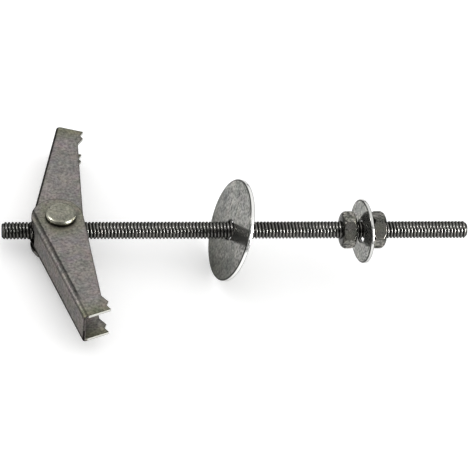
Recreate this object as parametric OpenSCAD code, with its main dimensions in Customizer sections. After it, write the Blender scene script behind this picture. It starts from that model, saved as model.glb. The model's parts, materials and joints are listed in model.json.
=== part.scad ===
// Spring toggle bolt: a threaded rod with a sprung two-wing toggle on a tapped cross pin, a large
// and a small plate washer and two hex nuts. It lies on a flat surface, on the rim of the large
// washer and on one head of the cross pin, with both wings just clear of the ground.
// Each piece is drawn along the rod, with the rod's toggle end at the origin, and then laid down.

/* [Rod] */
// Major diameter of the rod's thread
rod_d = 6.35; // [5.5:0.05:8]
// Length of the rod
rod_l = 173; // [140:0.5:220]
// Chamfer at the ends of the rod
rod_chamfer = 0.9; // [0.3:0.1:1.2]

/* [Cross pin] */
// Distance from the rod's end to the pin's axis
pin_at = 21.1; // [14:0.1:40]
// Wall of the pin's barrel beside the tapped hole
barrel_wall = 1.8; // [1.4:0.1:3]
// Step from the barrel down to the journals in the ears
journal_step = 0.8; // [0.4:0.1:1]
// How far the riveted heads stand out past the journals
head_lip = 1.4; // [1:0.1:2.5]
// Height of the riveted heads
head_h = 2.3; // [1.5:0.1:3.5]
// Rounding of the heads' rims
head_round = 0.7; // [0.2:0.1:1]

/* [Wings] */
// Thickness of the wings' sheet steel
sheet_t = 1.2; // [0.8:0.05:1.6]
// Inner radius of the folds
fold_r = 0.6; // [0.3:0.1:1]
// Length of a wing from the pin's axis to the tip of its fold
wing_l = 50.6; // [40:0.2:65]
// Angle between a wing's spine and its open edge
wing_taper = 12.5; // [8:0.5:14]
// Space between the coils of the spring and the wings' spines
spine_room = 3.5; // [2:0.1:4]
// How far a spine's inner shoulder runs on past the pin's axis
shoulder_l = 2.6; // [1:0.1:4]
// Width of the ears past the pin's heads on the open side
ear_margin = 2.7; // [1.5:0.05:4]
// How far the teeth stand out from the open edge
tooth_h = 2.35; // [1:0.05:3]
// Distance from one tooth to the next
tooth_pitch = 3.8; // [3:0.1:5]
// Slant of a wing's end
tip_slant = 16.5; // [5:0.5:25]
// Angle of the first wing's open edge from the rod
wing_a_open = 89.5; // [80:0.5:90]
// Angle of the second wing's open edge from the rod
wing_b_open = 84.5; // [80:0.5:90]

/* [Spring] */
// Diameter of the spring wire
wire_d = 0.6; // [0.4:0.05:0.8]
// Length of the spring's legs along the spines
leg_l = 14; // [9:0.5:20]

/* [Large washer] */
// Diameter of the large washer
large_d = 38; // [32:0.5:46]
// Thickness of the large washer
large_t = 1.5; // [1:0.1:2]
// Space between the folded wings and the large washer
large_room = 12.4; // [8:0.1:40]
// Lean of the large washer on the rod
large_lean = 17.5; // [0:0.1:22]
// Direction of the large washer's lean
large_lean_dir = 102; // [0:1:359]

/* [Small washer] */
// Diameter of the small washer
small_d = 23.7; // [18:0.1:30]
// Thickness of the small washer
small_t = 1.3; // [0.8:0.1:2]
// Diameter of the small washer's hole
small_hole = 8.2; // [7.4:0.1:9]
// Lean of the small washer on the rod
small_lean = 8.5; // [0:0.1:15]
// Direction of the small washer's lean
small_lean_dir = 154; // [0:1:359]
// Free play of the small washer between the nuts
small_play = 1.1; // [0.5:0.1:4]

/* [Nuts] */
// Width of the nuts across flats
nut_af = 12.1; // [11:0.1:14]
// Thickness of the nuts
nut_t = 5.5; // [4:0.1:7]
// Depth of the countersinks at both ends of the nuts' bores
nut_sink = 0.45; // [0.2:0.05:0.8]
// Length of rod past the outer nut
tail_l = 31.2; // [5:0.1:60]
// Turn of the inner nut about the rod
inner_nut_turn = 20; // [0:1:59]
// Turn of the outer nut about the rod
outer_nut_turn = 14; // [0:1:59]

/* [Hidden] */
$fn = 64;
// Clearances
thread_gap = 0.05;      // rod to tapped holes, on the radius
journal_gap = 0.08;     // journals to the ears' holes, on the radius
ear_gap = 0.15;         // between neighbouring ears, and ears to shoulder and head
washer_gap = 0.1;       // rod to the edges of a leaning washer's hole
coil_gap = 0.1;         // coils to the barrel and to the rod
turn_gap = 0.02;        // inner end of a coil to its outer end
coil_end_gap = 0.05;    // coils to the inner ears
leg_gap = 0.1;          // legs of the spring to the spines
slot_gap = 0.3;         // rod to the sides of the spines' slots
stop_gap = 0.25;        // rod to the ends of the spines' slots
shoulder_gap = 0.3;     // inner shoulder to the other wing's outer shoulder
over = 40;              // length by which cutting shapes run past what they cut

// Roll about the rod at which the bolt comes to rest on its two rims
lie_roll = -1.1;
// Heights of the second tooth and of the gullet, as shares of the first tooth's height
tooth_2_share = 0.87;
gullet_share = 0.45;
// Lean of the gullet and length of the last flank, as shares of the tooth pitch
gullet_lean = 0.08;
flank_share = 0.8;
// The nuts' chamfer: its circle as a share of the width across flats, and its angle
nut_face_share = 0.97;
nut_chamfer = 30;
rim_over = 0.01;        // the chamfer's outer circle past the nut's corners

// Cross pin and spring
barrel_r = rod_d / 2 + barrel_wall;
journal_r = barrel_r - journal_step;
head_r = journal_r + head_lip;
coil_r = barrel_r + coil_gap + wire_d / 2;
coil_in_z = rod_d / 2 + coil_gap + wire_d / 2;
coil_out_z = coil_in_z + wire_d + turn_gap;
ear_in_z = coil_out_z + wire_d / 2 + coil_end_gap;     // inner face of the inner ear
inner_z = ear_in_z + sheet_t;                          // outer face of the inner ear
outer_z = inner_z + ear_gap + sheet_t;                 // outer face of the outer ear
head_z = outer_z + ear_gap / 2;                        // underside of the pin's heads
pin_top = head_z + head_h;

// Wings, in their own frame: pin axis on Z, open edge along X, spine towards +Y
spine_out = coil_r + wire_d / 2 + spine_room + sheet_t; // pin axis to the spine's outer face
spine_in = spine_out - sheet_t;
edge_y = head_r + ear_margin;                           // pin axis to the open edge
fold_y0 = spine_out / cos(wing_taper);                  // spine's outer face beside the pin
fold_out_r = fold_r + sheet_t;
slot_end = rod_d / 2 + stop_gap;                        // the slot in the spine ends here
// The outer shoulder starts where the other wing's inner shoulder ends while the wings are open
open_turn = 180 - wing_a_open - wing_b_open;
outer_shoulder =
    max(0, shoulder_gap + shoulder_l * cos(open_turn) - spine_in * sin(open_turn));
tip = [wing_l, fold_y0 - wing_l * tan(wing_taper)];
tooth_1 = [tip.x - (tip.y + edge_y + tooth_h) * tan(tip_slant), -edge_y - tooth_h];
tooth_2 = [tooth_1.x - tooth_pitch, -edge_y - tooth_h * tooth_2_share];
tooth_gullet = [(tooth_1.x + tooth_2.x) / 2 - tooth_pitch * gullet_lean,
                -edge_y - tooth_h * gullet_share];
tooth_root = [tooth_2.x - tooth_pitch * flank_share, -edge_y];

// Places along the rod
large_at = pin_at + wing_l + large_room;
nut_corner_r = nut_af / sqrt(3);
nut_face_r = nut_af / 2 * nut_face_share;
nut_space = small_t / cos(small_lean) + 2 * nut_corner_r * tan(small_lean) + 2 * small_play;
outer_nut_at = rod_l - tail_l - nut_t;
inner_nut_at = outer_nut_at - nut_space - nut_t;
small_at = outer_nut_at - nut_space / 2;

// The large washer leans until both rims of its hole are all but on the rod
large_hole = (rod_d + 2 * washer_gap + large_t * sin(large_lean)) / cos(large_lean);
// The small washer hangs from the rod by the top of its hole
small_hang = (small_hole * cos(small_lean) - small_t * sin(small_lean) - rod_d) / 2 - washer_gap;

// How the bolt lies: up_dir is the direction that points up, in the frame of the rod
function lean_axis(lean, dir) = [-cos(lean), sin(lean) * cos(dir), sin(lean) * sin(dir)];
function up_dir(pitch, roll) = [sin(pitch), sin(roll) * cos(pitch), cos(roll) * cos(pitch)];
function washer_drop(up) =
    let (n = lean_axis(large_lean, large_lean_dir) * up)
    large_d / 2 * sqrt(1 - n * n) + large_t / 2 * abs(n);
function pin_drop(up) =
    (pin_top - head_round) * up.z + (head_r - head_round) * sqrt(1 - up.z * up.z) + head_round;
// Pitch at which the large washer's rim and the pin's head both touch the ground
function settle(pitch, n) = n == 0 ? pitch :
    let (up = up_dir(pitch, lie_roll))
    settle(asin((washer_drop(up) - pin_drop(up)) / (large_at - pin_at)), n - 1);
lie_pitch = settle(8, 12);
lie_up = up_dir(lie_pitch, lie_roll);
lie_height = pin_drop(lie_up) - pin_at * sin(lie_pitch);
lie_half_y = wing_l * (sin(wing_a_open) - sin(wing_b_open)) / 2 * cos(lie_roll);

// Lays the bolt down: bottom of its box on the ground, its middle over the origin
module laid() {
    translate([-rod_l / 2 * cos(lie_pitch), -lie_half_y, lie_height])
        rotate([0, -lie_pitch, 0]) rotate([lie_roll, 0, 0]) children();
}

// Rod from turned bar, threaded over its whole length, chamfered at both ends
module threaded_rod() {
    color("dimgray") laid() rotate([0, 90, 0]) {
        cylinder(h = rod_chamfer, r1 = rod_d / 2 - rod_chamfer, r2 = rod_d / 2);
        translate([0, 0, rod_chamfer]) cylinder(h = rod_l - 2 * rod_chamfer, d = rod_d);
        translate([0, 0, rod_l - rod_chamfer])
            cylinder(h = rod_chamfer, r1 = rod_d / 2, r2 = rod_d / 2 - rod_chamfer);
    }
}

// One half of the cross pin's turned profile, from its middle to the top of a head
module pin_half() {
    polygon([[0, 0], [barrel_r, 0], [barrel_r, ear_in_z - ear_gap / 2],
             [journal_r, ear_in_z - ear_gap / 2], [journal_r, head_z], [head_r, head_z],
             [head_r, pin_top - head_round], [head_r - head_round, pin_top - head_round],
             [head_r - head_round, pin_top], [0, pin_top]]);
    intersection() {
        translate([head_r - head_round, pin_top - head_round]) circle(head_round);
        translate([head_r - head_round, pin_top - head_round]) square(head_round);
    }
}

// Cross pin: tapped barrel between the ears, journals through them, a riveted head on each end
module cross_pin() {
    color("darkkhaki") laid() translate([pin_at, 0, 0]) difference() {
        rotate_extrude() union() {
            pin_half();
            mirror([0, 1]) pin_half();
        }
        rotate([0, 90, 0]) cylinder(h = over, r = rod_d / 2 + thread_gap, center = true);
    }
}

// Section of a wing's folded sheet: X is the distance from the pin's axis, Y runs along the pin
module channel_section(grow, r) {
    lo = -outer_z + grow;
    hi = inner_z - grow;
    reach = spine_out - grow;
    translate([-over, lo]) square([over + reach - r, hi - lo]);
    translate([-over, lo + r]) square([over + reach, hi - lo - 2 * r]);
    translate([reach - r, lo + r]) circle(r);
    translate([reach - r, hi - r]) circle(r);
}

// Outline of a flange from a given start beside the pin, out to the toothed tip
module flange_outline(start) {
    polygon([[0, -edge_y], tooth_root, tooth_2, tooth_gullet, tooth_1, tip,
             [start, fold_y0 - start * tan(wing_taper)], [start, 0], [0, 0]]);
}

// Outer flange: its ear is as wide as the flange and round at the end
module outer_flange() {
    flange_outline(0);
    translate([0, (fold_y0 - edge_y) / 2]) circle((fold_y0 + edge_y) / 2);
}

// Inner flange: its ear is smaller, and turns inside the other wing's spine
module inner_flange() {
    flange_outline(-shoulder_l);
    circle(edge_y);
}

// Wing: sheet steel folded to a tapering channel, with one outer ear and one inner ear
module wing() {
    difference() {
        intersection() {
            rotate([0, 0, -wing_taper]) rotate([90, 0, 90])
                translate([0, 0, -over]) linear_extrude(wing_l + 2 * over) difference() {
                    channel_section(0, fold_out_r);
                    channel_section(sheet_t, fold_r);
                }
            union() {
                translate([0, 0, -over]) linear_extrude(over) outer_flange();
                linear_extrude(over) inner_flange();
            }
        }
        // slot for the rod at the pin's end of the spine
        translate([-over, journal_r, -rod_d / 2 - slot_gap])
            cube([over + slot_end, over, rod_d + 2 * slot_gap]);
        // ends of the spine's outer and inner shoulders
        translate([-over, journal_r, -outer_z + sheet_t])
            cube([over + outer_shoulder, over, outer_z - sheet_t]);
        translate([-over, journal_r, 0]) cube([over - shoulder_l, over, inner_z - sheet_t]);
        // holes for the pin
        cylinder(h = over, r = journal_r + journal_gap, center = true);
    }
}

module wing_a() {
    color("gray") laid() translate([pin_at, 0, 0]) rotate([0, 0, wing_a_open]) wing();
}

// The second wing is the same part, turned over about the rod
module wing_b() {
    color("darkgray") laid() translate([pin_at, 0, 0])
        rotate([0, 0, -wing_b_open]) rotate([180, 0, 0]) wing();
}

// Spring: its wire runs up one leg, once round the barrel on each side of the rod, and up to
// a loop that joins both sides; the legs lie against the spine of wing b, the loop against wing a
leg_foot = spine_in - leg_gap - wire_d / 2;
leg_run = sqrt(leg_l * leg_l + leg_foot * leg_foot - coil_r * coil_r);
leg_turn = atan(leg_foot / leg_l) - atan(coil_r / leg_run);
head_a = wing_a_open - wing_taper + leg_turn;
head_b = 180 - (wing_b_open - wing_taper + leg_turn);
bend_r = wire_d * 1.5;                                  // bends at the ends of the loop
coil_steps = 26;
bend_steps = 4;
function on_coil(h) = [-coil_r * sin(h), coil_r * cos(h)];
function along(h, s) = on_coil(h) + s * [cos(h), sin(h)];
function flat(p, z) = [p.x, p.y, z];
spring_side = concat(
    [flat(along(head_b, -leg_run), coil_in_z)],
    [for (i = [0:coil_steps])
        let (h = head_b + (head_a - 360 - head_b) * i / coil_steps)
        flat(on_coil(h), coil_in_z + (coil_out_z - coil_in_z) * i / coil_steps)],
    [for (i = [0:bend_steps])
        let (a = 90 * i / bend_steps)
        flat(along(head_a, leg_run - bend_r * (1 - sin(a))), coil_out_z - bend_r * (1 - cos(a)))]);
spring_path = concat(spring_side,
    [for (i = [len(spring_side) - 1:-1:0])
        [spring_side[i].x, spring_side[i].y, -spring_side[i].z]]);
function unit(v) = v / norm(v);
function heading(p, i) = unit(p[min(i + 1, len(p) - 1)] - p[max(i - 1, 0)]);
// A normal carried along the path without twist
function carried(p, i, n, out) = i == len(p) ? out :
    let (t = heading(p, i), m = unit(n - (n * t) * t))
    carried(p, i + 1, m, concat(out, [m]));
module sweep_wire(p, d, sides) {
    normals = carried(p, 0, [0, 0, 1], []);
    points = [for (i = [0:len(p) - 1])
        let (t = heading(p, i), n = normals[i], b = cross(t, n))
        for (k = [0:sides - 1]) p[i] + d / 2 * (cos(360 * k / sides) * n + sin(360 * k / sides) * b)];
    walls = [for (i = [0:len(p) - 2]) for (k = [0:sides - 1])
        let (a = i * sides + k, b = i * sides + (k + 1) % sides)
        [a, a + sides, b + sides, b]];
    ends = [[for (k = [0:sides - 1]) k],
            [for (k = [sides - 1:-1:0]) (len(p) - 1) * sides + k]];
    polyhedron(points, concat(walls, ends), convexity = 6);
}
module wing_spring() {
    color("silver") laid() translate([pin_at, 0, 0]) sweep_wire(spring_path, wire_d, 8);
}

// Plate washer round the rod, leaning to one side
module washer(d, t, hole, lean, dir) {
    rotate([dir - 90, 0, 0]) rotate([0, -90 + lean, 0]) difference() {
        cylinder(h = t, d = d, center = true);
        cylinder(h = 2 * t, d = hole, center = true);
    }
}

module large_washer() {
    color("lightslategray") laid() translate([large_at, 0, 0])
        washer(large_d, large_t, large_hole, large_lean, large_lean_dir);
}

module small_washer() {
    color("slategray") laid() translate([small_at, 0, -small_hang])
        washer(small_d, small_t, small_hole, small_lean, small_lean_dir);
}

// Hex nut with both faces chamfered, tapped right through and countersunk at both ends
module nut(turn) {
    bore_r = rod_d / 2 + thread_gap;
    rim_r = nut_corner_r + rim_over;
    rim_h = (rim_r - nut_face_r) * tan(nut_chamfer);
    rotate([turn, 0, 0]) rotate([0, 90, 0]) difference() {
        intersection() {
            cylinder(h = nut_t, r = nut_corner_r, $fn = 6);
            rotate_extrude() polygon([[0, 0], [nut_face_r, 0], [rim_r, rim_h],
                [rim_r, nut_t - rim_h], [nut_face_r, nut_t], [0, nut_t]]);
        }
        cylinder(h = over, r = bore_r, center = true);
        translate([0, 0, -nut_sink])
            cylinder(h = 2 * nut_sink, r1 = bore_r + 2 * nut_sink, r2 = bore_r);
        translate([0, 0, nut_t - nut_sink])
            cylinder(h = 2 * nut_sink, r1 = bore_r, r2 = bore_r + 2 * nut_sink);
    }
}

module inner_nut() {
    color("gray") laid() translate([inner_nut_at, 0, 0]) nut(inner_nut_turn);
}

module outer_nut() {
    color("gray") laid() translate([outer_nut_at, 0, 0]) nut(outer_nut_turn);
}

threaded_rod();
cross_pin();
wing_a();
wing_b();
wing_spring();
large_washer();
inner_nut();
small_washer();
outer_nut();
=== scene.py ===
import json
import math
import bpy
import bmesh
from mathutils import Matrix, Vector, noise


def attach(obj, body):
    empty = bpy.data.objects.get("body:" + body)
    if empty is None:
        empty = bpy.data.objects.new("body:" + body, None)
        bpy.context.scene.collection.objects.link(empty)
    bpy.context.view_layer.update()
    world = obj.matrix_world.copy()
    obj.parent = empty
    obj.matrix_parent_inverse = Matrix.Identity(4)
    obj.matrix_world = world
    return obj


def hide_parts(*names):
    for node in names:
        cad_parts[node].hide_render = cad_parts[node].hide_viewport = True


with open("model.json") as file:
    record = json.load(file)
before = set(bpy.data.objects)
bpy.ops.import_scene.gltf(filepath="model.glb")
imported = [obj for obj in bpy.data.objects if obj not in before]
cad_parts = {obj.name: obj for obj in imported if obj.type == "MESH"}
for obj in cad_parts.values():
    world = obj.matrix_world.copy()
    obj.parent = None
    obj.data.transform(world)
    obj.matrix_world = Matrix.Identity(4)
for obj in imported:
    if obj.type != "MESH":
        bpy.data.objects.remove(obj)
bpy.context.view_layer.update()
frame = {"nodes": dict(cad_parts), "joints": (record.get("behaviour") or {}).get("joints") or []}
nodes = frame["nodes"]
joints = {j["name"]: j for j in frame["joints"]}

# ---------------------------------------------------------------------------------------------
# Threaded rod. A length of zinc plated steel bar with a coarse 60 degree thread rolled from end to
# end, right handed, and a turned chamfer at both ends. The toggle, washers and nuts ride on it.

# Here and in the sections of the pieces, sizes are in millimetres, a tone is linear red, green and
# blue, a shade is a share of the tone under it, and a pair is where a mask starts and is full.
thread_pitch = 1.27
thread_crest_r = 3.175
thread_root_r = 2.6
# one pitch of the thread: place along the rod in pitches, and how deep between crest and root
thread_profile = [(-0.22, 0.12), (-0.13, 0.02), (0.0, 0.0), (0.13, 0.02), (0.22, 0.12), (0.42, 0.93),
                  (0.5, 1.0), (0.58, 0.93)]
steps_per_turn = 48
rod_chamfer = 0.9
# shallow dents in the crests: how deep, and how close together along and round the rod
crest_dent = 0.008
dents_along = 0.9
dents_round = 2
# points of the thread nearer than this are one
weld = 0.002

rod_tone = (0.16, 0.158, 0.148)
# oil and dust in the thread, with painted shade down in its roots, by how deep between crest and
# root. The chamfers are as dark as chamfer_depth.
thread_oil_and_shade = (0.02, 0.0195, 0.018)
oil_shade_depth = (0.1, 0.7)
oil_shade_cover = 0.92
chamfer_depth = 0.3
rough_depth = (0.2, 0.9)
crest_roughness = 0.26
root_roughness = 0.45
# painted shadow darkens the rod from the toggle's end to past the toggle, by the distance from that end
shadowed_end = (34, 22)
end_shadow_shade = (0.7, 0.7, 0.7)

# The bolt is drawn with X along the rod from its toggle end and Z along the cross pin, and rod_frame
# lays it down. Places in the CAD frame are in metres.
rod_dir = Vector(joints["toggle_travel"]["axis"]).normalized()
pin_dir = Vector(joints["wing_b_fold"]["axis"]).normalized()
pin_place = Vector(joints["wing_b_fold"]["pos_m"])
side_dir = pin_dir.cross(rod_dir).normalized()
reach = [(v.co - pin_place).dot(rod_dir) for v in nodes["threaded_rod"].data.vertices]
rod_start = pin_place + rod_dir * min(reach)
rod_length = (max(reach) - min(reach)) * 1000
pin_at = -min(reach) * 1000


def axes_at(place, x_dir, y_dir, z_dir):
    """The matrix that sets three axes up at a place."""
    axes = Matrix((x_dir, y_dir, z_dir)).transposed().to_4x4()
    axes.translation = place
    return axes


rod_frame = axes_at(rod_start, rod_dir, side_dir, pin_dir) @ Matrix.Scale(0.001, 4)


def add_piece(name, shape, body, slot, finish, *stands_for):
    """Makes a smooth piece of a bmesh that is already in place, and hangs it on its body."""
    mesh = bpy.data.meshes.new(name)
    shape.to_mesh(mesh)
    shape.free()
    mesh.shade_smooth()
    mesh.materials.append(finish)
    piece = bpy.data.objects.new(name, mesh)
    bpy.context.scene.collection.objects.link(piece)
    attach(piece, body)
    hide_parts(*stands_for)
    return piece


def add_node(tree, kind, inputs, **settings):
    """Adds a shader node. Each of its inputs is a plain value, or an output that is linked to it."""
    node = tree.nodes.new("ShaderNode" + kind)
    for setting, value in settings.items():
        setattr(node, setting, value)
    for socket, value in inputs.items():
        if isinstance(value, bpy.types.NodeSocket):
            tree.links.new(value, node.inputs[socket])
        else:
            node.inputs[socket].default_value = value
    return node


def add_math(tree, operation, *values):
    """The result of a Math node."""
    return add_node(tree, "Math", dict(enumerate(values)), operation=operation).outputs[0]


def add_vector(tree, operation, *values):
    """The result of a VectorMath node: a number for a length or a dot product, else a vector."""
    result = "Value" if operation in ("LENGTH", "DOT_PRODUCT") else "Vector"
    return add_node(tree, "VectorMath", dict(enumerate(values)), operation=operation).outputs[result]


def add_mask(tree, value, start, end, low=0.0, high=1.0):
    """A mask that runs from low to high as a value runs from start to end."""
    limits = {"Value": value, "From Min": start, "From Max": end, "To Min": low, "To Max": high}
    return add_node(tree, "MapRange", limits).outputs[0]


def add_cover(tree, colour, mask, tone):
    """The colour, covered by a tone where the mask is. Sockets 6 and 7 are a Mix node's colours."""
    layers = {"Factor": mask, 6: colour, 7: (*tone, 1)}
    return add_node(tree, "Mix", layers, data_type="RGBA").outputs[2]


def add_shade(tree, colour, mask, shade):
    """The colour, shaded where the mask is."""
    return add_vector(tree, "MULTIPLY", colour, add_cover(tree, (1, 1, 1, 1), mask, shade))


def start_group(name, inputs, outputs):
    """A node group with named sockets. Returns its tree, its input node and its output node."""
    group = bpy.data.node_groups.new(name, "ShaderNodeTree")
    for socket, value in inputs.items():
        kind = "NodeSocketFloat" if isinstance(value, float) else "NodeSocketColor"
        made = group.interface.new_socket(socket, in_out="INPUT", socket_type=kind)
        made.default_value = value
    for socket, kind in outputs.items():
        group.interface.new_socket(socket, in_out="OUTPUT", socket_type=kind)
    return group, group.nodes.new("NodeGroupInput"), group.nodes.new("NodeGroupOutput")


# Zinc bloom: the patches and fine specks of a dull plated face, lighter and darker than its tone,
# with a slight tint here and there. The lighter the face, the smoother it is. cloud_spread is how
# far a noise spreads.
cloud_spread = (0.25, 0.75)
smoothing_shade = (0.8, 1.2)
zinc_bloom, given, made = start_group(
    "zinc_bloom",
    {"Tone": (0.22, 0.22, 0.2, 1), "Patch Size": 6.0, "Patch Depth": 0.1, "Speck Size": 0.6,
     "Speck Depth": 0.2, "Tint": 0.15, "Smoothest": 0.2, "Roughest": 0.3},
    {"Colour": "NodeSocketColor", "Roughness": "NodeSocketFloat", "Height": "NodeSocketFloat"})
place = add_node(zinc_bloom, "TexCoord", {}).outputs["Object"]
patch_scale = add_math(zinc_bloom, "DIVIDE", 1000.0, given.outputs["Patch Size"])
speck_scale = add_math(zinc_bloom, "DIVIDE", 1000.0, given.outputs["Speck Size"])
patches = add_node(zinc_bloom, "TexNoise", {
    "Vector": place, "Scale": patch_scale, "Detail": 4.0, "Roughness": 0.6, "Distortion": 0.4})
specks = add_node(zinc_bloom, "TexNoise", {
    "Vector": place, "Scale": speck_scale, "Detail": 2.0, "Roughness": 0.6})
shades = []
for cloud, depth in ((patches, "Patch Depth"), (specks, "Speck Depth")):
    centred = add_mask(zinc_bloom, cloud.outputs["Fac"], *cloud_spread, -1.0, 1.0)
    shades.append(add_math(zinc_bloom, "MULTIPLY_ADD", centred, given.outputs[depth], 1.0))
shade = add_math(zinc_bloom, "MULTIPLY", *shades)
untinted = add_math(zinc_bloom, "MULTIPLY_ADD", given.outputs["Tint"], -0.5, 1.0)
tint = add_vector(zinc_bloom, "MULTIPLY_ADD", patches.outputs["Color"], given.outputs["Tint"], untinted)
tinted = add_vector(zinc_bloom, "MULTIPLY", given.outputs["Tone"], tint)
shaded = add_vector(zinc_bloom, "MULTIPLY", tinted, shade)
roughness = add_mask(zinc_bloom, shade, *smoothing_shade, given.outputs["Roughest"],
                     given.outputs["Smoothest"])
zinc_bloom.links.new(shaded, made.inputs["Colour"])
zinc_bloom.links.new(roughness, made.inputs["Roughness"])
zinc_bloom.links.new(specks.outputs["Fac"], made.inputs["Height"])


def start_metal(name, edge_tint):
    """A bare metal material. Returns it with its node tree and its shader."""
    finish = bpy.data.materials.new(name)
    finish.use_nodes = True
    shader = finish.node_tree.nodes["Principled BSDF"]
    shader.inputs["Metallic"].default_value = 1.0
    shader.inputs["Specular Tint"].default_value = (edge_tint, edge_tint, edge_tint, 1)
    return finish, finish.node_tree, shader


def add_bloom(tree, tone, **sizes):
    """Places the zinc bloom in a material, with its own tone and sizes."""
    values = {name.replace("_", " ").title(): value for name, value in sizes.items()}
    return add_node(tree, "Group", {"Tone": (*tone, 1), **values}, node_tree=zinc_bloom)


# Rod finish: bright rolled crests, with grey oil, dust and painted shade left down in the thread.
rod_zinc, tree, shader = start_metal("rod_zinc", edge_tint=0.2)
bloom = add_bloom(tree, rod_tone, patch_size=4.0, patch_depth=0.25, speck_size=0.7, speck_depth=0.25)
thread_depth = add_node(tree, "Attribute", {}, attribute_name="thread_depth").outputs["Fac"]
oil_and_shade = add_mask(tree, thread_depth, *oil_shade_depth, 0.0, oil_shade_cover)
oiled_and_shaded = add_cover(tree, bloom.outputs["Colour"], oil_and_shade, thread_oil_and_shade)
# painted shadow on the rod's end beside the toggle
place = add_node(tree, "TexCoord", {}).outputs["Object"]
from_end = add_vector(tree, "SUBTRACT", place, rod_start)
along_rod = add_vector(tree, "DOT_PRODUCT", from_end, rod_dir * 1000)
colour = add_shade(tree, oiled_and_shaded, add_mask(tree, along_rod, *shadowed_end), end_shadow_shade)
tree.links.new(colour, shader.inputs["Base Color"])
roughness = add_mask(tree, thread_depth, *rough_depth, crest_roughness, root_roughness)
tree.links.new(roughness, shader.inputs["Roughness"])

thread_shape = bmesh.new()
depth_layer = thread_shape.verts.layers.float.new("thread_depth")
last_row = (math.ceil(rod_length / thread_pitch) + 2) * steps_per_turn
rows = []
for i in range(last_row + 1):
    angle = 2 * math.pi * i / steps_per_turn
    row = []
    for along, depth in thread_profile:
        x = thread_pitch * (i / steps_per_turn - 1 + along)
        x = min(max(x, 0), rod_length)
        dent = noise.noise((dents_along * x, dents_round * math.cos(angle), dents_round * math.sin(angle)))
        thread_r = thread_crest_r + (thread_root_r - thread_crest_r) * depth
        thread_r -= crest_dent * (1 - depth) * abs(dent)
        chamfer_r = thread_crest_r - rod_chamfer + min(x, rod_length - x)
        r = min(thread_r, chamfer_r)
        vert = thread_shape.verts.new((x, r * math.cos(angle), r * math.sin(angle)))
        vert[depth_layer] = depth if chamfer_r > thread_r else chamfer_depth
        row.append(vert)
    rows.append(row)
for i in range(last_row):
    strip = rows[i]
    following = rows[i + 1]
    for j in range(len(thread_profile) - 1):
        thread_shape.faces.new((strip[j], strip[j + 1], following[j + 1], following[j]))
    next_turn = i + steps_per_turn
    if next_turn < last_row:
        thread_shape.faces.new((strip[-1], rows[next_turn][0], rows[next_turn + 1][0], following[-1]))
bmesh.ops.remove_doubles(thread_shape, verts=thread_shape.verts, dist=weld)
bmesh.ops.dissolve_degenerate(thread_shape, edges=thread_shape.edges, dist=weld)
for end in (0, rod_length):
    rim = [e for e in thread_shape.edges if e.is_boundary
           and all(abs(v.co.x - end) < weld / 2 for v in e.verts)]
    bmesh.ops.edgeloop_fill(thread_shape, edges=rim)
bmesh.ops.recalc_face_normals(thread_shape, faces=thread_shape.faces)
bmesh.ops.transform(thread_shape, matrix=rod_frame, verts=thread_shape.verts)
add_piece("threaded_bar", thread_shape, "rod", "rod_steel", rod_zinc, "threaded_rod")

# ---------------------------------------------------------------------------------------------
# Cross pin. Turned from zinc plated steel bar: a barrel with a tapped hole for the rod, journals
# that carry the wings' ears, and at each end a head that is riveted over the ears.
pin_edge = 0.15
# the round of the heads' rims, as the CAD node has it and as it is when riveted
turned_round = 0.7
riveted_round = 1.25
# how far apart the riveting tool's rings are, and how deep as a share of the specks
ring_gap = 0.55
ring_depth = 0.35

pin_tone = (0.235, 0.232, 0.19)
rubbed_tone = (0.3, 0.3, 0.27)
# painted shadow round the foot of each head, black: how far below its top it starts, is full, and ends
foot_shadow_tone = (0.01, 0.01, 0.009)
foot_start = 1.0
foot_full = 1.45
foot_end = 2.5
foot_cover = 0.95


def copied_shape(node):
    """A clean copy of a CAD node's mesh, its flat faces whole."""
    shape = bmesh.new()
    shape.from_mesh(nodes[node].data)
    bmesh.ops.remove_doubles(shape, verts=shape.verts, dist=1e-6)
    bmesh.ops.dissolve_limit(shape, angle_limit=math.radians(0.5), verts=shape.verts, edges=shape.edges)
    bmesh.ops.recalc_face_normals(shape, faces=shape.faces)
    return shape


def soften_edges(piece, width, segments):
    """Rounds a piece's edges by a width, and keeps its flat faces flat."""
    bevel = piece.modifiers.new("soft_edges", "BEVEL")
    bevel.width = width / 1000
    bevel.segments = segments
    bevel.limit_method = "ANGLE"
    bevel.angle_limit = math.radians(35)
    bevel.use_clamp_overlap = False
    even = piece.modifiers.new("flat_faces", "WEIGHTED_NORMAL")
    even.mode = "FACE_AREA"
    even.weight = 100
    even.keep_sharp = False


# Edge wear and shade: a mask of the edges, patchy along their length, for worn bright edges and
# for painted dark shade along edges. Least is what it keeps between the patches, and edge_turn is
# the cosine between a face and its softened normal, off and on an edge.
edge_turn = (0.995, 0.9)
edge_patch_spread = (0.35, 0.6)
edge_wear_and_shade, given, made = start_group(
    "edge_wear_and_shade", {"Width": 0.3, "Least": 0.0}, {"Edge Mark": "NodeSocketFloat"})
edge_radius = add_math(edge_wear_and_shade, "MULTIPLY", given.outputs["Width"], 0.001)
rounded = add_node(edge_wear_and_shade, "Bevel", {"Radius": edge_radius}, samples=6)
true_face = add_node(edge_wear_and_shade, "NewGeometry", {})
turned = add_vector(edge_wear_and_shade, "DOT_PRODUCT", rounded.outputs["Normal"], true_face.outputs["Normal"])
near_edge = add_mask(edge_wear_and_shade, turned, *edge_turn)
place = add_node(edge_wear_and_shade, "TexCoord", {}).outputs["Object"]
edge_patches = add_node(edge_wear_and_shade, "TexNoise", {
    "Vector": place, "Scale": 700.0, "Detail": 3.0, "Roughness": 0.7})
patchy = add_mask(edge_wear_and_shade, edge_patches.outputs["Fac"], *edge_patch_spread, given.outputs["Least"])
edge_wear_and_shade.links.new(add_math(edge_wear_and_shade, "MULTIPLY", near_edge, patchy), made.inputs["Edge Mark"])
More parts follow.
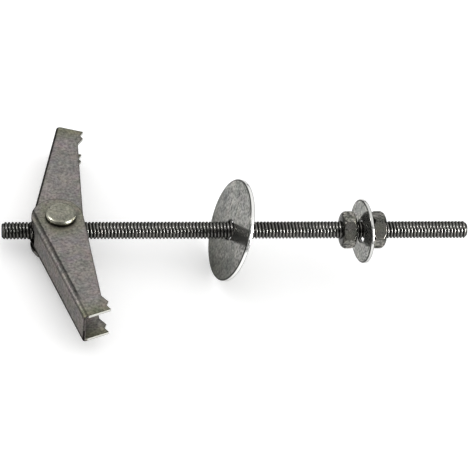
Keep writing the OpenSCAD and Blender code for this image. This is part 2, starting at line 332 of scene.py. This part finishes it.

# Corner shade: a mask of painted shade in the corners and seams, by how open they are.
open_corner = (0.85, 0.25)
occlusion_shade, given, made = start_group(
    "occlusion_shade", {"Reach": 1.5}, {"Corner Shade": "NodeSocketFloat"})
shade_reach = add_math(occlusion_shade, "MULTIPLY", given.outputs["Reach"], 0.001)
openness = add_node(occlusion_shade, "AmbientOcclusion", {"Distance": shade_reach}, samples=8)
sheltered = add_mask(occlusion_shade, openness.outputs["AO"], *open_corner)
occlusion_shade.links.new(sheltered, made.inputs["Corner Shade"])

# Round the pin: how far a point is from the pin's axis, and how far along it from the rod's.
round_pin, given, made = start_group(
    "round_pin", {}, {"Radius": "NodeSocketFloat", "Height": "NodeSocketFloat"})
place = add_node(round_pin, "TexCoord", {}).outputs["Object"]
from_pin = add_vector(round_pin, "SUBTRACT", place, pin_place)
off_axis = add_vector(round_pin, "CROSS_PRODUCT", from_pin, pin_dir * 1000)
along_pin = add_vector(round_pin, "DOT_PRODUCT", from_pin, pin_dir * 1000)
round_pin.links.new(add_vector(round_pin, "LENGTH", off_axis), made.inputs["Radius"])
round_pin.links.new(add_math(round_pin, "ABSOLUTE", along_pin), made.inputs["Height"])

# the tone of the painted shade in corners
corner_shade_tone = (0.02, 0.019, 0.017)


def add_wear_and_shade(tree, bloom, edge_tone, width, least, reach, corner_shade_cover):
    """A metal's colour: its bloom, then its edges, worn bright or painted dark as shade, then painted
    shade in its corners.
    """
    edge_mark = add_node(tree, "Group", {"Width": width, "Least": least}, node_tree=edge_wear_and_shade)
    edged = add_cover(tree, bloom.outputs["Colour"], edge_mark.outputs["Edge Mark"], edge_tone)
    corner_shade = add_node(tree, "Group", {"Reach": reach}, node_tree=occlusion_shade)
    amount = add_math(tree, "MULTIPLY", corner_shade.outputs["Corner Shade"], corner_shade_cover)
    return add_cover(tree, edged, amount, corner_shade_tone)


def finish_metal(tree, shader, bloom, colour, lift, heights=None):
    """Gives a metal its colour, its bloom's roughness, and a bump. The lift is in microns."""
    bump = add_node(tree, "Bump", {
        "Height": heights or bloom.outputs["Height"], "Strength": 1.0, "Distance": lift * 1e-6})
    tree.links.new(colour, shader.inputs["Base Color"])
    tree.links.new(bloom.outputs["Roughness"], shader.inputs["Roughness"])
    tree.links.new(bump.outputs["Normal"], shader.inputs["Normal"])


# riveting works the heads' rims over to a fuller round than they were turned to
pin_shape = copied_shape("cross_pin")
nearly = 1e-6
placed = []
for vert in pin_shape.verts:
    height = (vert.co - pin_place).dot(pin_dir)
    placed.append((vert, height, vert.co - pin_place - pin_dir * height))
pin_top = max(height for vert, height, out in placed)
head_r = max(out.length for vert, height, out in placed)
for vert, height, out in placed:
    rise = abs(height) - (pin_top - turned_round / 1000)
    past = out.length - (head_r - turned_round / 1000)
    if rise > -nearly and past > -nearly:
        turn = math.atan2(rise, past)
        new_r = head_r - riveted_round / 1000 * (1 - math.cos(turn))
        new_height = pin_top - riveted_round / 1000 * (1 - math.sin(turn))
        vert.co = pin_place + out.normalized() * new_r + pin_dir * math.copysign(new_height, height)

# Pin finish: a yellowish plating, with the rings of the riveting tool on its heads, and a painted
# shadow round the foot of each head.
pin_zinc, tree, shader = start_metal("pin_zinc", edge_tint=0.55)
bloom = add_bloom(tree, pin_tone, patch_size=2.5, patch_depth=0.25, speck_size=0.8, speck_depth=0.5,
                  tint=0.15, smoothest=0.28, roughest=0.4)
colour = add_wear_and_shade(tree, bloom, rubbed_tone, width=0.25, least=0.0, reach=0.8, corner_shade_cover=0.7)
on_pin = add_node(tree, "Group", {}, node_tree=round_pin)
ring_turn = add_math(tree, "MULTIPLY", on_pin.outputs["Radius"], 2 * math.pi / ring_gap)
rings = add_math(tree, "SINE", ring_turn)
marks = add_math(tree, "MULTIPLY_ADD", rings, ring_depth, bloom.outputs["Height"])
# the painted shadow round the foot of each head
below_top = add_math(tree, "SUBTRACT", pin_top * 1000, on_pin.outputs["Height"])
low_down = add_mask(tree, below_top, foot_start, foot_full, 0.0, foot_cover)
on_head = add_math(tree, "LESS_THAN", below_top, foot_end)
foot = add_math(tree, "MULTIPLY", low_down, on_head)
colour = add_cover(tree, colour, foot, foot_shadow_tone)
finish_metal(tree, shader, bloom, colour, lift=25, heights=marks)

pin = add_piece("riveted_pin", pin_shape, "toggle_pin", "pin_steel", pin_zinc, "cross_pin")
soften_edges(pin, pin_edge, segments=2)

# ---------------------------------------------------------------------------------------------
# Spring. One length of hard drawn wire, wound once round the barrel on each side of the rod. Its
# two legs press on one wing's spine and the loop that joins the coils presses on the other's.
wire_d = 0.6
wire_bend = 1.5 * wire_d
# a coil's radius, and how far over the rod's axis its inner end and its outer end are
coil_r = 5.375
coil_in_z = 3.575
turn_gap = 0.02
coil_out_z = coil_in_z + wire_d + turn_gap
# the wire's heading where it leaves the coil for a leg and for the loop, and how far both then run
leg_head = math.radians(94.91)
loop_head = math.radians(90.09 - 360)
leg_reach = 15.62
# how far each half of the coil runs on inside the other half, and its share of the full thickness
wound_up = math.radians(78.5)
wound_thick = 0.9
coil_steps = 96
bend_steps = 8
spring_tone = (0.24, 0.24, 0.235)
spring_edge_tone = (0.4, 0.4, 0.4)


def on_coil(turn):
    """A point of the coil and its height, by the wire's heading there."""
    share = (leg_head - turn) / (leg_head - loop_head)
    return Vector((pin_at - coil_r * math.sin(turn), coil_r * math.cos(turn),
                   coil_in_z + (coil_out_z - coil_in_z) * share))


def coil_turns(first, last):
    """The headings along a stretch of the coil."""
    return [first + (last - first) * i / coil_steps for i in range(coil_steps + 1)]


def wire_piece(name, body, points, thick):
    """Bends the wire through its points. Thick is its thickness at each, as a share of its own."""
    curve = bpy.data.curves.new(name, "CURVE")
    curve.dimensions = "3D"
    curve.bevel_depth = wire_d / 2000
    curve.bevel_resolution = 4
    curve.use_fill_caps = True
    spline = curve.splines.new("POLY")
    spline.points.add(len(points) - 1)
    for at, point, share in zip(spline.points, points, thick):
        at.co = (*(rod_frame @ point), 1)
        at.radius = share
    spline.use_smooth = True
    curve.materials.append(spring_steel)
    piece = bpy.data.objects.new(name, curve)
    bpy.context.scene.collection.objects.link(piece)
    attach(piece, body)
    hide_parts("wing_spring")


spring_steel, tree, shader = start_metal("spring_steel", edge_tint=0.6)
bloom = add_bloom(tree, spring_tone, patch_size=3.0, patch_depth=0.2, speck_size=0.3, speck_depth=0.25,
                  smoothest=0.22, roughest=0.36)
colour = add_wear_and_shade(tree, bloom, spring_edge_tone, width=0.1, least=0.0, reach=0.6, corner_shade_cover=0.6)
finish_metal(tree, shader, bloom, colour, lift=8)

# The two halves of each coil ride on the two wings, so each runs on, thinner, inside the other: the
# coil stays whole as it winds up.
middle = (leg_head + loop_head) / 2
for side, sign in (("upper", 1), ("lower", -1)):
    turns = coil_turns(leg_head, middle - wound_up)
    leg_end = on_coil(leg_head) - leg_reach * Vector((math.cos(leg_head), math.sin(leg_head), 0))
    points = [leg_end] + [on_coil(turn) for turn in turns]
    thick = [1.0] + [1.0 if turn > middle else wound_thick for turn in turns]
    wire_piece("spring_leg_" + side, "wing_b", [Vector((p.x, p.y, p.z * sign)) for p in points], thick)

turns = coil_turns(middle + wound_up, loop_head)
points = [on_coil(turn) for turn in turns]
thick = [1.0 if turn < middle else wound_thick for turn in turns]
for i in range(bend_steps + 1):
    bend = math.pi / 2 * i / bend_steps
    run = leg_reach - wire_bend * (1 - math.sin(bend))
    points.append(on_coil(loop_head) + Vector((run * math.cos(loop_head), run * math.sin(loop_head),
                                               -wire_bend * (1 - math.cos(bend)))))
    thick.append(1.0)
points += [Vector((p.x, p.y, -p.z)) for p in reversed(points)]
thick += thick[::-1]
wire_piece("spring_loop", "wing_a", points, thick)

# ---------------------------------------------------------------------------------------------
# Wings. Two like channels pressed and folded from dull zinc plated strip, toothed at the tips so
# that they bite the back of a wall. Their ears overlap and turn on the cross pin's journals.
sheared_edge = 0.12
wing_tone = (0.212, 0.198, 0.187)
# the wings' edges are painted this dark tone as shade
wing_edge_tone = (0.03, 0.029, 0.027)
# how squarely a face looks along the pin: a flange's face, and any other
flange_facing = (0.3, 0.6)
other_facing = (0.5, 0.3)
# olive plating, by the distance from the pin's axis
olive_shade = (0.86, 0.9, 0.72)
olive_at_pin = (11.5, 7.5)
olive_cover = 0.7
olive_at_tip = (42, 48)
# painted shade on the spine and on the bends beside it, by the distance in from the spine's outside
spine_shade = (0.9, 0.9, 0.9)
spine_outside = (0.5, 0.2)
bend_start = (0.01, 0.1)
outer_bend_shade = (0.4, 0.4, 0.4)
outer_bend_end = (1.95, 1.6)
inner_bend_shade = (0.07, 0.07, 0.065)
inner_bend_end = (1.2, 0.7)
# a band of the spine with painted shade, by the distance from the rod's axis towards the outer flange
spine_band_shade = (0.12, 0.12, 0.11)
spine_band = (-2.7, -3.5)
# a ragged line of painted shade by the fold: how far in it is, how far it wanders, and how wide it is
fold_line_shade = (0.13, 0.13, 0.13)
fold_line = 2.0
fold_wander = 0.7
fold_half_width = (0.55, 0.15)
fold_cover = 0.85
short_of_tip = (45, 38)
# the sheared edges, bare and with a painted highlight, but for those of the ears
sheared_tone = (0.48, 0.48, 0.45)
past_bend = (1.9, 2.1)
past_ears = (14, 16)


def where_all(tree, *masks):
    """A mask of the places that are in all of the masks."""
    shared = masks[0]
    for mask in masks[1:]:
        shared = add_math(tree, "MULTIPLY", shared, mask)
    return shared


# Wing finish: the strip was plated before it was pressed, so the sheared edges are bare. The bends,
# the fold line and the edges are painted dark as shade.
wing_zinc, tree, shader = start_metal("wing_zinc", edge_tint=0.55)
bloom = add_bloom(tree, wing_tone, patch_size=4.5, patch_depth=0.2, speck_size=0.95, speck_depth=0.5,
                  tint=0.3, smoothest=0.42, roughest=0.56)
# edges painted dark as shade, and painted shade in the corners
colour = add_wear_and_shade(tree, bloom, wing_edge_tone, width=1.0, least=0.8, reach=2.0, corner_shade_cover=0.8)
radius = add_node(tree, "Group", {}, node_tree=round_pin).outputs["Radius"]
facing = add_node(tree, "NewGeometry", {}).outputs["Normal"]
across = add_math(tree, "ABSOLUTE", add_vector(tree, "DOT_PRODUCT", facing, pin_dir))
from_spine = add_node(tree, "Attribute", {}, attribute_name="from_spine").outputs["Fac"]
toward_outer = add_node(tree, "Attribute", {}, attribute_name="toward_outer").outputs["Fac"]
outer_side = add_math(tree, "GREATER_THAN", toward_outer, 0.0)
inner_side = add_math(tree, "SUBTRACT", 1.0, outer_side)
on_spine = add_mask(tree, from_spine, *spine_outside)
# the plating is olive round the pin and on the flanges' tips
at_pin = add_mask(tree, radius, *olive_at_pin, 0.0, olive_cover)
at_ends = add_math(tree, "MAXIMUM", at_pin, add_mask(tree, radius, *olive_at_tip))
olive = where_all(tree, at_ends, add_mask(tree, across, *flange_facing))
colour = add_shade(tree, colour, olive, olive_shade)
# painted shade: the spine a little darker than the flanges, the bend beside the outer flange darker
# still, and the bend beside the inner flange black, with the band of the spine next to it
past_face = add_mask(tree, from_spine, *bend_start)
outer_bend = where_all(tree, past_face, add_mask(tree, from_spine, *outer_bend_end), outer_side)
inner_bend = where_all(tree, past_face, add_mask(tree, from_spine, *inner_bend_end), inner_side)
oiled_and_shaded = where_all(tree, add_mask(tree, toward_outer, *spine_band), on_spine)
colour = add_shade(tree, colour, on_spine, spine_shade)
colour = add_shade(tree, colour, outer_bend, outer_bend_shade)
colour = add_shade(tree, colour, inner_bend, inner_bend_shade)
colour = add_shade(tree, colour, oiled_and_shaded, spine_band_shade)
# a ragged line of painted shade beside the outer flange's bend
place = add_node(tree, "TexCoord", {}).outputs["Object"]
ragged = add_node(tree, "TexNoise", {"Vector": place, "Scale": 600.0, "Detail": 2.0}).outputs["Fac"]
wandering = add_math(tree, "MULTIPLY_ADD", ragged, fold_wander, from_spine)
off_line = add_math(tree, "SUBTRACT", wandering, fold_line + fold_wander / 2)
on_line = add_mask(tree, add_math(tree, "ABSOLUTE", off_line), *fold_half_width, 0.0, fold_cover)
fold_shaded = where_all(tree, on_line, outer_side, add_mask(tree, radius, *short_of_tip))
colour = add_shade(tree, colour, fold_shaded, fold_line_shade)
# the flanges' sheared edges are bare metal, brighter than their faces, with a painted highlight
sheared = where_all(tree, add_mask(tree, across, *other_facing), add_mask(tree, from_spine, *past_bend),
                    add_mask(tree, radius, *past_ears))
colour = add_cover(tree, colour, sheared, sheared_tone)
finish_metal(tree, shader, bloom, colour, lift=20)

# the outside of a wing's spine is the largest face that lies along the pin and looks away from it
most_tilt = 0.01
off_pin = 5
for side, turned_over in (("a", -1), ("b", 1)):
    shape = copied_shape("wing_" + side)
    outward = [f for f in shape.faces if abs(f.normal.dot(pin_dir)) < most_tilt
               and f.normal.dot(f.calc_center_median() - pin_place) > off_pin / 1000]
    spine = max(outward, key=lambda f: f.calc_area())
    outside = spine.normal.copy()
    limit = outside.dot(spine.verts[0].co)
    spine_layer = shape.verts.layers.float.new("from_spine")
    flange_layer = shape.verts.layers.float.new("toward_outer")
    for vert in shape.verts:
        vert[spine_layer] = (limit - outside.dot(vert.co)) * 1000
        vert[flange_layer] = (vert.co - pin_place).dot(pin_dir) * 1000 * turned_over
    wing = add_piece("wing_plate_" + side, shape, "wing_" + side, "wing_sheet", wing_zinc, "wing_" + side)
    soften_edges(wing, sheared_edge, segments=2)

# ---------------------------------------------------------------------------------------------
# Washers. Stamped from zinc plated sheet: the punch leaves each with a rounded edge on one face and
# a fine burr on the other. The large one leans on the rod, the small one hangs between the nuts.
die_roll = 0.45
roll_steps = 4
burr = 0.07
torn_edge = 0.35
# the clean part of a face: it starts past the hole and ends short of the rounded edge
past_hole = 0.5
short_of_roll = 0.35
face_steps = 10
washer_steps = 128
# a slight warp of the faces: how high, how close together, and how far from the rim it is full
washer_warp = 0.03
warp_scale = 0.12
warp_fade = 1.5
# how far round its edge a point of a washer is: 0 a face, 0.5 a corner painted dark as shade, 1
# the sheared rim, painted bright as a highlight
rolled_rims = (0.45, 0.5, 0.5, 0.8, 1.0)
sheared_rim = 1.0
burr_rim = 0.55
corner_rim = 0.5
hole_rim = 0.3
# painted shade at the corners of the rim, and a painted highlight on the sheared rim
corner_tone = (0.02, 0.02, 0.019)
dark_rim = (0.0, 0.45)
dark_cover = 0.85
bright_rim = (0.6, 0.85)
low_shade = (0.3, 0.3, 0.27)


def washer_outline(outer, hole, half):
    """A washer's section, on one side of its axis: a list of radius, height and rim."""
    outline = []
    for i, rim in enumerate(rolled_rims):
        a = math.pi / 2 * i / roll_steps
        outline.append((outer - die_roll * (1 - math.sin(a)), half - die_roll * (1 - math.cos(a)), rim))
    outline += [(outer, -half + torn_edge, sheared_rim), (outer, -half + burr, burr_rim),
                (outer - burr, -half, corner_rim)]
    width = outer - die_roll - short_of_roll - hole - past_hole
    face = [hole + past_hole + width * i / face_steps for i in range(face_steps + 1)]
    outline += [(r, -half, 0.0) for r in reversed(face)]
    outline += [(hole + burr, -half, hole_rim), (hole, -half + burr, hole_rim)]
    for i in range(roll_steps + 1):
        a = math.pi / 2 * i / roll_steps
        outline.append((hole + die_roll * (1 - math.cos(a)), half - die_roll * (1 - math.sin(a)),
                        hole_rim))
    return outline + [(r, half, 0.0) for r in face]


def washer_piece(name, node, finish):
    """Spins a washer with punched edges where its CAD node is, its rounded edge towards the toggle."""
    plain = nodes[node].data
    axis = max(plain.polygons, key=lambda face: face.area).normal.normalized()
    if axis.dot(rod_dir) > 0:
        axis = -axis
    across = axis.orthogonal().normalized()
    upward = axis.cross(across)
    corners = [(v.co.dot(across), v.co.dot(upward), v.co.dot(axis)) for v in plain.vertices]
    low = [min(c) for c in zip(*corners)]
    high = [max(c) for c in zip(*corners)]
    mid = [(a + b) / 2 for a, b in zip(low, high)]
    outer = (high[0] - low[0]) * 500
    hole = min(math.hypot(c[0] - mid[0], c[1] - mid[1]) for c in corners) * 1000
    half = (high[2] - low[2]) * 500
    outline = washer_outline(outer, hole, half)
    shape = bmesh.new()
    rim_layer = shape.verts.layers.float.new("rim")
    loops = []
    for k in range(washer_steps):
        turn = 2 * math.pi * k / washer_steps
        loop = []
        for r, z, rim in outline:
            flat = Vector((r * math.cos(turn), r * math.sin(turn), 0))
            warp = washer_warp * noise.noise(flat * warp_scale) * min(1, (outer - r) / warp_fade)
            vert = shape.verts.new((flat.x, flat.y, z + warp))
            vert[rim_layer] = rim
            loop.append(vert)
        loops.append(loop)
    for k in range(washer_steps):
        here = loops[k]
        there = loops[(k + 1) % washer_steps]
        for j in range(len(outline)):
            n = (j + 1) % len(outline)
            shape.faces.new((here[j], here[n], there[n], there[j]))
    bmesh.ops.recalc_face_normals(shape, faces=shape.faces)
    centre = across * mid[0] + upward * mid[1] + axis * mid[2]
    laid = axes_at(centre, across, upward, axis) @ Matrix.Scale(0.001, 4)
    bmesh.ops.transform(shape, matrix=laid, verts=shape.verts)
    add_piece(name, shape, node, "washer_steel", finish, node)


def washer_finish(name, tone, speck_size, speck_depth, shaded_below, rim_highlight_tone):
    """Mottled zinc with painted shade low down and at its corners, and a painted highlight on its rim."""
    finish, tree, shader = start_metal(name, edge_tint=0.6)
    shader.inputs["Metallic"].default_value = 0.9
    bloom = add_bloom(tree, tone, patch_size=5.0, patch_depth=0.4, speck_size=speck_size,
                      speck_depth=speck_depth, tint=0.2, smoothest=0.12, roughest=0.24)
    colour = add_wear_and_shade(tree, bloom, tone, width=0.3, least=0.0, reach=1.5, corner_shade_cover=0.4)
    place = add_node(tree, "TexCoord", {}).outputs["Object"]
    height = add_node(tree, "SeparateXYZ", {0: place}).outputs["Z"]
    # painted shade: the washer is darker from a height down
    colour = add_shade(tree, colour, add_mask(tree, height, shaded_below / 1000, 0.0), low_shade)
    rim = add_node(tree, "Attribute", {}, attribute_name="rim").outputs["Fac"]
    # painted shade at the rim's corners, then a painted highlight on the sheared rim
    colour = add_cover(tree, colour, add_mask(tree, rim, *dark_rim, 0.0, dark_cover), corner_tone)
    colour = add_cover(tree, colour, add_mask(tree, rim, *bright_rim), rim_highlight_tone)
    finish_metal(tree, shader, bloom, colour, lift=10)
    return finish


wall_washer_zinc = washer_finish("wall_washer_zinc", tone=(0.29, 0.29, 0.273), speck_size=1.0,
                                 speck_depth=0.8, shaded_below=26, rim_highlight_tone=(0.86, 0.86, 0.84))
nut_washer_zinc = washer_finish("nut_washer_zinc", tone=(0.33, 0.33, 0.31), speck_size=0.7,
                                speck_depth=1.2, shaded_below=4, rim_highlight_tone=(0.65, 0.65, 0.63))
washer_piece("wall_washer", "large_washer", wall_washer_zinc)
washer_piece("nut_washer", "small_washer", nut_washer_zinc)

# ---------------------------------------------------------------------------------------------
# Nuts. Two hex nuts cold formed from steel, domed at both ends, tapped right through, countersunk
# and zinc plated. Their plating is mottled, with painted shade along the corners and on the domes.
nut_edge = 0.15
# the dome that both ends of a nut are turned to: radius, and depth below the nut's face
nut_dome = [(5.35, 0.0), (6.2, 0.45), (6.7, 1.0), (6.98, 1.7)]
dome_steps = 36
nut_tone = (0.2, 0.196, 0.175)
# painted shade along the nuts' edges
nut_edge_tone = (0.04, 0.039, 0.035)
# painted shade makes the domes and ends darker than the flats, by how squarely a face looks along the rod
end_facing = (0.15, 0.4)
end_shade = (0.3, 0.3, 0.3)


def domed_nut(node):
    """A CAD nut's mesh with its corners turned to the dome at both ends."""
    shape = copied_shape(node)
    along = [v.co.dot(rod_dir) for v in shape.verts]
    half = (max(along) - min(along)) / 2
    middle = rod_start + rod_dir * ((max(along) + min(along)) / 2 - rod_start.dot(rod_dir))
    for facing in (rod_dir, -rod_dir):
        for k in range(dome_steps):
            turn = 2 * math.pi * k / dome_steps
            out = side_dir * math.cos(turn) + pin_dir * math.sin(turn)
            for (r0, d0), (r1, d1) in zip(nut_dome, nut_dome[1:]):
                cut = bmesh.ops.bisect_plane(
                    shape, geom=shape.verts[:] + shape.edges[:] + shape.faces[:], dist=1e-7,
                    plane_co=middle + facing * (half - d0 / 1000) + out * r0 / 1000,
                    plane_no=out * (d1 - d0) + facing * (r1 - r0), clear_outer=True)
                rim = [e for e in cut["geom_cut"] if isinstance(e, bmesh.types.BMEdge)]
                if rim:
                    bmesh.ops.edgeloop_fill(shape, edges=rim)
    bmesh.ops.remove_doubles(shape, verts=shape.verts, dist=2e-6)
    bmesh.ops.recalc_face_normals(shape, faces=shape.faces)
    return shape


nut_zinc, tree, shader = start_metal("nut_zinc", edge_tint=0.6)
bloom = add_bloom(tree, nut_tone, patch_size=2.4, patch_depth=0.9, speck_size=0.9, speck_depth=1.1,
                  tint=0.25, smoothest=0.2, roughest=0.3)
colour = add_wear_and_shade(tree, bloom, nut_edge_tone, width=0.6, least=0.5, reach=2.5, corner_shade_cover=0.9)
facing = add_node(tree, "NewGeometry", {}).outputs["Normal"]
endways = add_math(tree, "ABSOLUTE", add_vector(tree, "DOT_PRODUCT", facing, rod_dir))
colour = add_shade(tree, colour, add_mask(tree, endways, *end_facing), end_shade)
finish_metal(tree, shader, bloom, colour, lift=12)

for side in ("inner", "outer"):
    node = side + "_nut"
    nut = add_piece(side + "_hex", domed_nut(node), node, "nut_steel", nut_zinc, node)
    soften_edges(nut, nut_edge, segments=3)

# ---------------------------------------------------------------------------------------------
# Studio. A plain pale floor under an even white sky, two small lamps, and grey cards that only show
# in the metal: one round the camera, a low one from the left round to the right, and a lower one
# behind. Sizes and distances are in metres.
picture_px = 470
lens_px = 2226.0
camera_place = Vector((-0.20224, -0.56875, 0.57486))
camera_aim = Vector((-0.00071, -0.0014, 0.01784))
camera_roll = math.radians(19.182)
floor_half = 1.5
floor_tone = 0.96
floor_glow = 0.2
card_distance = 1.4
lamp_distance = 0.9

back = (camera_place - camera_aim).normalized()
level_right = Vector((0, 0, 1)).cross(back).normalized()
level_up = back.cross(level_right)
right = math.cos(camera_roll) * level_right + math.sin(camera_roll) * level_up
up = math.cos(camera_roll) * level_up - math.sin(camera_roll) * level_right
camera_data = bpy.data.cameras.new("camera")
camera_data.sensor_width = 36.0
camera_data.lens = camera_data.sensor_width * lens_px / picture_px
camera_data.clip_start = 0.01
camera_data.clip_end = 20.0
camera = bpy.data.objects.new("camera", camera_data)
camera.matrix_world = axes_at(camera_place, right, up, back)
scene = bpy.context.scene
scene.collection.objects.link(camera)
scene.camera = camera
scene.view_settings.view_transform = "Standard"

world = bpy.data.worlds.new("studio")
world.use_nodes = True
scene.world = world
sky = world.node_tree.nodes["Background"]
sky.inputs["Color"].default_value = (1, 1, 1, 1)
sky.inputs["Strength"].default_value = 1.0


def toward(azimuth, elevation, distance):
    """A point in that direction from the object. Azimuth 0 is the front, 90 the right, in degrees."""
    az = math.radians(azimuth)
    el = math.radians(elevation)
    return Vector((math.sin(az) * math.cos(el), -math.cos(az) * math.cos(el), math.sin(el))) * distance


def add_stage(name, points, faces, tone):
    """A matt floor or card of one grey tone."""
    mesh = bpy.data.meshes.new(name)
    mesh.from_pydata(points, [], faces)
    paint = bpy.data.materials.new(name + "_paint")
    paint.use_nodes = True
    matt = paint.node_tree.nodes["Principled BSDF"]
    matt.inputs["Base Color"].default_value = (tone, tone, tone, 1)
    matt.inputs["Roughness"].default_value = 0.9
    mesh.materials.append(paint)
    sheet = bpy.data.objects.new(name, mesh)
    scene.collection.objects.link(sheet)
    return sheet


def add_card(name, azimuths, elevations, tone):
    """A curved card that shows only in the metal."""
    points = [toward(az, el, card_distance) for el in elevations for az in azimuths]
    across = len(azimuths)
    faces = [(i * across + j, i * across + j + 1, (i + 1) * across + j + 1, (i + 1) * across + j)
             for i in range(len(elevations) - 1) for j in range(across - 1)]
    card = add_stage(name, points, faces, tone)
    card.visible_camera = False
    card.visible_diffuse = False
    card.visible_shadow = False


def add_lamp(name, place, width, height, power):
    """A soft lamp that faces the object. It shines in the metal, and lights nothing matt."""
    lamp = bpy.data.lights.new(name, "AREA")
    lamp.shape = "RECTANGLE"
    lamp.size = width
    lamp.size_y = height
    lamp.energy = power
    box = bpy.data.objects.new(name, lamp)
    box.location = place
    box.rotation_mode = "QUATERNION"
    box.rotation_quaternion = place.to_track_quat("Z", "Y")
    box.visible_diffuse = False
    scene.collection.objects.link(box)


# the floor glows a little where it is seen, and its glow lights nothing matt
corners = [(-floor_half, -floor_half, 0), (floor_half, -floor_half, 0), (floor_half, floor_half, 0),
           (-floor_half, floor_half, 0)]
floor = add_stage("floor", corners, [(0, 1, 2, 3)], floor_tone)
tree = floor.active_material.node_tree
matt = tree.nodes["Principled BSDF"]
path = add_node(tree, "LightPath", {}).outputs
seen = add_math(tree, "MAXIMUM", path["Is Camera Ray"], path["Is Glossy Ray"])
seen = add_math(tree, "MAXIMUM", seen, path["Is Transmission Ray"])
matt.inputs["Emission Color"].default_value = (1, 1, 1, 1)
tree.links.new(add_math(tree, "MULTIPLY", seen, floor_glow), matt.inputs["Emission Strength"])

add_card("camera_card", azimuths=range(-48, 43, 15), elevations=(10, 23, 36, 49, 62), tone=0.17)
add_card("low_card", azimuths=range(-90, 136, 15), elevations=(0, 9, 18), tone=0.06)
add_card("far_card", azimuths=range(135, 226, 15), elevations=(0, 4, 8), tone=0.06)
add_lamp("right_lamp", toward(50, 26, lamp_distance), width=0.2, height=0.5, power=20.0)
add_lamp("left_lamp", toward(-93, 30, lamp_distance), width=0.2, height=0.25, power=7.5)
